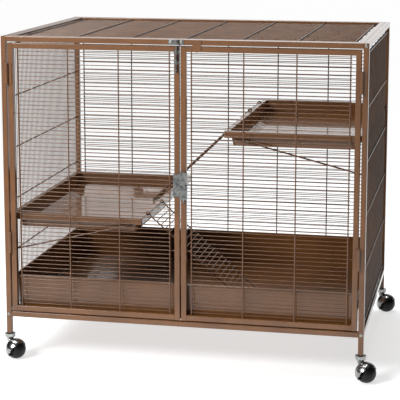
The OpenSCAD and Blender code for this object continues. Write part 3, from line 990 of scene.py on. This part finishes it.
@dataclass
class SlideBolt:
    """The round bolt on the left door, bent forward at its lower end as a handle.

    Sizes are in millimetres.
    """

    node: str = "top_bolt"
    radius: float = 2.5
    handle: float = 13.0
    bend: float = 4.5
    sides: int = 20

    def build(self) -> None:
        """Draws the bent rod in the box of its solid."""
        low, high = (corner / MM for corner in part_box(self.node))
        x = (low.x + high.x) / 2
        y = high.y - self.radius
        z = low.z + self.radius
        corners = [mm(x, y - self.handle, z), mm(x, y, z), mm(x, y, high.z)]
        bm = bmesh.new()
        path = rounded_path(corners, self.bend * MM)
        sweep(bm, path, self.radius * MM, self.sides)
        finished_piece(
            f"{self.node}_rod",
            bm,
            BRIGHT_ZINC,
            body_of_node(self.node),
            [self.node],
            WIRE_SMOOTH_DEG,
        )


# ---------------------------------------------------------------- studio


@dataclass(frozen=True)
class Softbox:
    """A soft square light that the camera doesn't see. Places and size are in metres."""

    name: str
    place: tuple[float, float, float]
    aim: tuple[float, float, float]
    size: float
    power: float
    spread_deg: float = 70

    def build(self) -> None:
        """Hangs the light and turns it to its aim."""
        light = bpy.data.lights.new(self.name, "AREA")
        light.shape = "SQUARE"
        light.size = self.size
        light.energy = self.power
        light.spread = math.radians(self.spread_deg)
        lamp = bpy.data.objects.new(self.name, light)
        way = Vector(self.aim) - Vector(self.place)
        turn = way.to_track_quat("-Z", "Y").to_matrix().to_4x4()
        lamp.matrix_world = Matrix.Translation(self.place) @ turn
        lamp.visible_camera = False
        bpy.context.scene.collection.objects.link(lamp)


KEY_SOFTBOX = Softbox("key_softbox", (-1.5, -2.3, 1.9), (0, -0.2, 0.4), 1.0, 20)
TOP_SOFTBOX = Softbox("top_softbox", (-0.6, 0.4, 3.6), (0, 0, 0.4), 2.4, 32)


@dataclass
class PaperFloor:
    """A wide floor of matt pale paper that glows a little, more so behind the cage.

    Lengths are in metres: glow_over is how far back the glow takes to reach its full strength.
    """

    colour: str = "#b8b8b8"
    half_size: float = 60
    roughness: float = 0.9
    specular: float = 0.1
    glow: float = 0.66
    backdrop_glow: float = 0.95
    glow_over: float = 2.5

    def build(self) -> None:
        """Lays the floor."""
        bm = bmesh.new()
        bmesh.ops.create_grid(bm, x_segments=1, y_segments=1, size=self.half_size)
        mesh = bpy.data.meshes.new("studio_floor")
        bm.to_mesh(mesh)
        bm.free()
        mesh.materials.append(self._paper())
        floor = bpy.data.objects.new("studio_floor", mesh)
        bpy.context.scene.collection.objects.link(floor)

    def _paper(self) -> bpy.types.Material:
        """Makes the paper.

        Returns:
            Its material.
        """
        made = bpy.data.materials.new("matt_studio_paper")
        made.use_nodes = True
        tree = made.node_tree
        shader = tree.nodes["Principled BSDF"]
        shader.inputs["Base Color"].default_value = linear(self.colour)
        shader.inputs["Roughness"].default_value = self.roughness
        shader.inputs["Specular IOR Level"].default_value = self.specular
        shader.inputs["Emission Color"].default_value = linear(WHITE)
        places = add_node(tree, "ShaderNodeTexCoord").outputs["Object"]
        parts = add_node(tree, "ShaderNodeSeparateXYZ", links={0: places})
        glow = add_node(
            tree,
            "ShaderNodeMapRange",
            {
                "interpolation_type": "SMOOTHSTEP",
                "From Min": 0.0,
                "From Max": self.glow_over,
                "To Min": self.glow,
                "To Max": self.backdrop_glow,
            },
            {"Value": parts.outputs["Y"]},
        )
        tree.links.new(glow.outputs["Result"], shader.inputs["Emission Strength"])
        return made


@dataclass
class Room:
    """The room round the cage: bright in one patch low behind it, and dim all round.

    Level faces mirror the patch towards the camera. bright_way points to its middle, and the
    two cosines say how far from there it starts to fade and where it ends.
    """

    bright_way: tuple[float, float, float] = (0.05, 0.97, 0.22)
    fade_from: float = 0.985
    fade_to: float = 0.86
    bright: float = 1.0
    dim: float = 0.015

    def build(self) -> None:
        """Sets up the world."""
        world = bpy.data.worlds.new("studio_room")
        bpy.context.scene.world = world
        world.use_nodes = True
        tree = world.node_tree
        way = add_node(tree, "ShaderNodeTexCoord").outputs["Generated"]
        nearness = add_node(
            tree,
            "ShaderNodeVectorMath",
            {"operation": "DOT_PRODUCT", 1: self.bright_way},
            {0: way},
        )
        strength = add_node(
            tree,
            "ShaderNodeMapRange",
            {
                "interpolation_type": "SMOOTHSTEP",
                "From Min": self.fade_to,
                "From Max": self.fade_from,
                "To Min": self.dim,
                "To Max": self.bright,
            },
            {"Value": nearness.outputs["Value"]},
        )
        background = tree.nodes["Background"]
        tree.links.new(strength.outputs["Result"], background.inputs["Strength"])
        background.inputs["Color"].default_value = linear(WHITE)


@dataclass
class PhotographCamera:
    """The camera that was fitted to the corners of the frame in the photograph.

    place is in millimetres. focal_px is the focal length in pixels of a picture that is
    frame_px wide.
    """

    place: tuple[float, float, float] = (748.7, -3646.5, 1146.6)
    yaw_deg: float = 11.864
    pitch_deg: float = -9.225
    roll_deg: float = 0.03
    focal_px: float = 1412.8
    frame_px: float = 400.0
    sensor_mm: float = 36.0
    shift: float = -0.16
    clip_end: float = 200

    def build(self) -> None:
        """Sets up the camera and makes it the scene's."""
        data = bpy.data.cameras.new("photograph_view")
        data.sensor_width = self.sensor_mm
        data.lens = self.focal_px / self.frame_px * self.sensor_mm
        data.shift_y = self.shift
        data.clip_end = self.clip_end
        camera = bpy.data.objects.new("photograph_view", data)
        yaw, pitch = math.radians(self.yaw_deg), math.radians(self.pitch_deg)
        ahead = Vector(
            (
                -math.sin(yaw) * math.cos(pitch),
                math.cos(yaw) * math.cos(pitch),
                math.sin(pitch),
            )
        )
        right = Vector((math.cos(yaw), math.sin(yaw), 0))
        turn = Matrix((right, right.cross(ahead), -ahead)).transposed().to_4x4()
        roll = Matrix.Rotation(math.radians(self.roll_deg), 4, "Z")
        camera.matrix_world = Matrix.Translation(mm(*self.place)) @ turn @ roll
        bpy.context.scene.collection.objects.link(camera)
        bpy.context.scene.camera = camera


def build_studio() -> None:
    """Makes the floor, the room, the lights and the camera."""
    bpy.context.scene.view_settings.view_transform = "Standard"
    for part in (PaperFloor(), Room(), KEY_SOFTBOX, TOP_SOFTBOX, PhotographCamera()):
        part.build()


# ---------------------------------------------------------------- the cage


def nodes_like(*parts: str) -> list[str]:
    """Names of the solids that contain one of some words.

    Args:
        parts: The words.

    Returns:
        The names in order.
    """
    return sorted(n for n in frame["nodes"] if any(part in n for part in parts))


def wire_pieces() -> list[WireGrille | WireRamp | ShelfBraces]:
    """Lists everything that is bent or welded from wire.

    Returns:
        The pieces in the order in which they are built.
    """
    front_axes = {"along": X, "across": Z, "outward": Y}
    # The doors' wire takes the lighter copy of the enamel, which is painted light
    door = {**front_axes, "side": -1, "columns": 4, "finish": LIT_DOOR_WIRE_ENAMEL}
    flank = {"along": Z, "across": Y, "outward": X, "columns": 6}
    return [
        WireGrille("left_door_grille", **door),
        WireGrille("right_door_grille", **door),
        # The back grille's wire takes the darker copy of the enamel, which is painted shade
        WireGrille("grille_back", **front_axes, side=1, columns=7, finish=SHADED_BACK_WIRE_ENAMEL),
        WireGrille("grille_left", **flank, side=-1),
        WireGrille("grille_right", **flank, side=1),
        WireGrille(
            "grille_roof", along=X, across=Y, outward=Z, side=1, columns=7, edge=3.0
        ),
        WireRamp("upper_ramp", heading=-1, stands_on="lower_shelf_pan", sheet=1.2),
        WireRamp("lower_ramp", heading=1, stands_on="tray", sheet=1.5),
        ShelfBraces("upper_shelf_braces", "upper_shelf_pan", 1),
        ShelfBraces("lower_shelf_braces", "lower_shelf_pan", -1),
    ]


def at_corners(stem: str) -> list[str]:
    """Names of the four solids of one kind, one at each caster."""
    return [f"{stem}_{corner}" for corner in CORNERS]


def main() -> None:
    """Builds the studio, then the cage's pieces in order."""
    logging.basicConfig(level=logging.INFO, format="%(name)s %(message)s")
    build_studio()
    tubes = ("post_front", "post_back", "rail", "stile", "roof_frame", "support_bars")
    KeptSolids(nodes_like(*tubes), HAMMERED_ENAMEL).dress()
    for piece in wire_pieces():
        piece.build()
    hinges = [*nodes_like("hinge_leaves", "hinge_post_leaves"), "hinge_pins"]
    axles = [*at_corners("caster_axle"), "caster_stems"]
    sheets = ["upper_shelf_pan", "lower_shelf_pan"]
    latch = ["latch_housing", "latch_keeper", "latch_bolt"]
    SoftEdges(["tray"], SHEET_ENAMEL, edge_mm=1.2).build()
    SoftEdges(sheets, SHEET_ENAMEL, edge_mm=0.5).build()
    SoftEdges([*hinges, "stop_tab"], HAMMERED_ENAMEL).build()
    SoftEdges(latch, BRIGHT_ZINC, edge_mm=0.5).build()
    SoftEdges(["bolt_saddle", "top_bolt_guides"], BRIGHT_ZINC, edge_mm=0.3).build()
    SoftEdges(["frame_screws"], DIPPED_ZINC).build()
    SoftEdges(["shelf_clip_bolts"], WIRE_ENAMEL).build()
    SlideBolt().build()
    SoftEdges(at_corners("caster_hood"), CHROME_PLATE, edge_mm=0.4).build()
    SoftEdges(at_corners("caster_wheel"), MOULDED_RUBBER, edge_mm=0.6).build()
    SoftEdges(axles, DIPPED_ZINC, edge_mm=0.25).build()
    SoftEdges(["leg_sockets"], MOULDED_NYLON, edge_mm=0.4).build()


if __name__ == "__main__":
    main()
